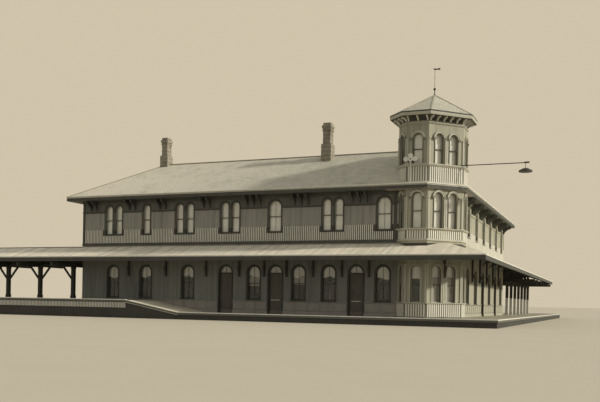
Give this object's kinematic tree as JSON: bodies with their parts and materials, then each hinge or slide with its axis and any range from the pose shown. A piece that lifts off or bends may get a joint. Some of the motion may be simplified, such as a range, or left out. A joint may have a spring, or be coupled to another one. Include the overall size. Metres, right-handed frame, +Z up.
{
  "type": "scale model railway station",
  "caption": "Half-size scale model of a timber railway station: L-shaped hall with a corner lookout tower, wall canopies, open platform sheds and hinged doors.",
  "frame": {"origin": "on the ground under the point where the planes of the two fronts cross, on the foundation's underside", "axes": "+X along the track front towards the tower, +Y from the track front back along the side wing, +Z up"},
  "size_m": [21.347, 25.3775, 8.115],
  "materials": {
    "stone": "rough dressed stone",
    "floor_boards": "worn planks",
    "platform_boards": "weathered planks",
    "platform_timber": "weathered timber",
    "lower_boards": "dark flat paint",
    "upper_boards": "flat brown paint",
    "tower_boards": "flat buff paint",
    "dark_trim": "dark flat paint",
    "white_trim": "pale flat paint",
    "slate": "weathered slates",
    "canopy_boards": "weathered pale boards",
    "frame_timber": "dark flat paint",
    "glass": "old window glass",
    "door_wood": "dark satin paint",
    "brick": "weathered brick",
    "iron": "dark paint"
  },
  "bodies": {
    "building": {"foundation": "stone", "ground_floor": "floor_boards", "low_deck": "platform_boards", "high_deck": "platform_boards", "ramp": "platform_boards", "low_deck_framing": "platform_timber", "high_deck_framing": "platform_timber", "front_wall_lower": "lower_boards", "side_wall_lower": "lower_boards", "door_heads": "lower_boards", "front_wall_upper": "upper_boards", "side_wall_upper": "upper_boards", "rear_wall": "upper_boards", "yard_wall": "upper_boards", "end_walls": "upper_boards", "tower_walls_lower": "tower_boards", "tower_walls_upper": "tower_boards", "lookout_walls": "tower_boards", "upper_floor": "floor_boards", "lookout_floor": "floor_boards", "main_cornice": "dark_trim", "main_roof": "slate", "tower_cornice": "white_trim", "tower_roof": "slate", "tower_finial": "iron", "front_canopy": "canopy_boards", "side_canopy": "canopy_boards", "shed_roofs": "canopy_boards", "shed_frames": "frame_timber", "canopy_brackets": "frame_timber", "eave_brackets": "dark_trim", "tower_brackets": "white_trim", "glass_lower": "glass", "glass_upper": "glass", "door_frames": "dark_trim", "door_hinges": "iron", "chimneys": "brick", "signal_arm": "iron", "signal_target": "iron"},
    "front_door_west": {"front_door_west": "door_wood"},
    "front_door_middle": {"front_door_middle": "door_wood"},
    "front_door_east": {"front_door_east": "door_wood"},
    "side_door_south": {"side_door_south": "door_wood"},
    "side_door_north": {"side_door_north": "door_wood"},
    "weather_vane": {"weather_vane": "iron"}
  },
  "joints": [
    {"name": "front_door_west_hinge", "type": "hinge", "parent": "building", "child": "front_door_west", "pos_m": [-7.82859, 0.109, 0.95], "axis": [0, 0, 1], "range_deg": [0, 95]},
    {"name": "front_door_middle_hinge", "type": "hinge", "parent": "building", "child": "front_door_middle", "pos_m": [-5.975, 0.109, 0.95], "axis": [0, 0, 1], "range_deg": [0, 95]},
    {"name": "front_door_east_hinge", "type": "hinge", "parent": "building", "child": "front_door_east", "pos_m": [-3.1696, 0.109, 0.95], "axis": [0, 0, 1], "range_deg": [0, 95]},
    {"name": "side_door_south_hinge", "type": "hinge", "parent": "building", "child": "side_door_south", "pos_m": [-0.109, 6.35433, 0.95], "axis": [0, 0, 1], "range_deg": [0, 95]},
    {"name": "side_door_north_hinge", "type": "hinge", "parent": "building", "child": "side_door_north", "pos_m": [-0.109, 9.621, 0.95], "axis": [0, 0, 1], "range_deg": [0, 95]},
    {"name": "vane_turn", "type": "hinge", "parent": "building", "child": "weather_vane", "pos_m": [-0.67, 0.67, 8.045], "axis": [0, 0, 1], "continuous": true}
  ]
}
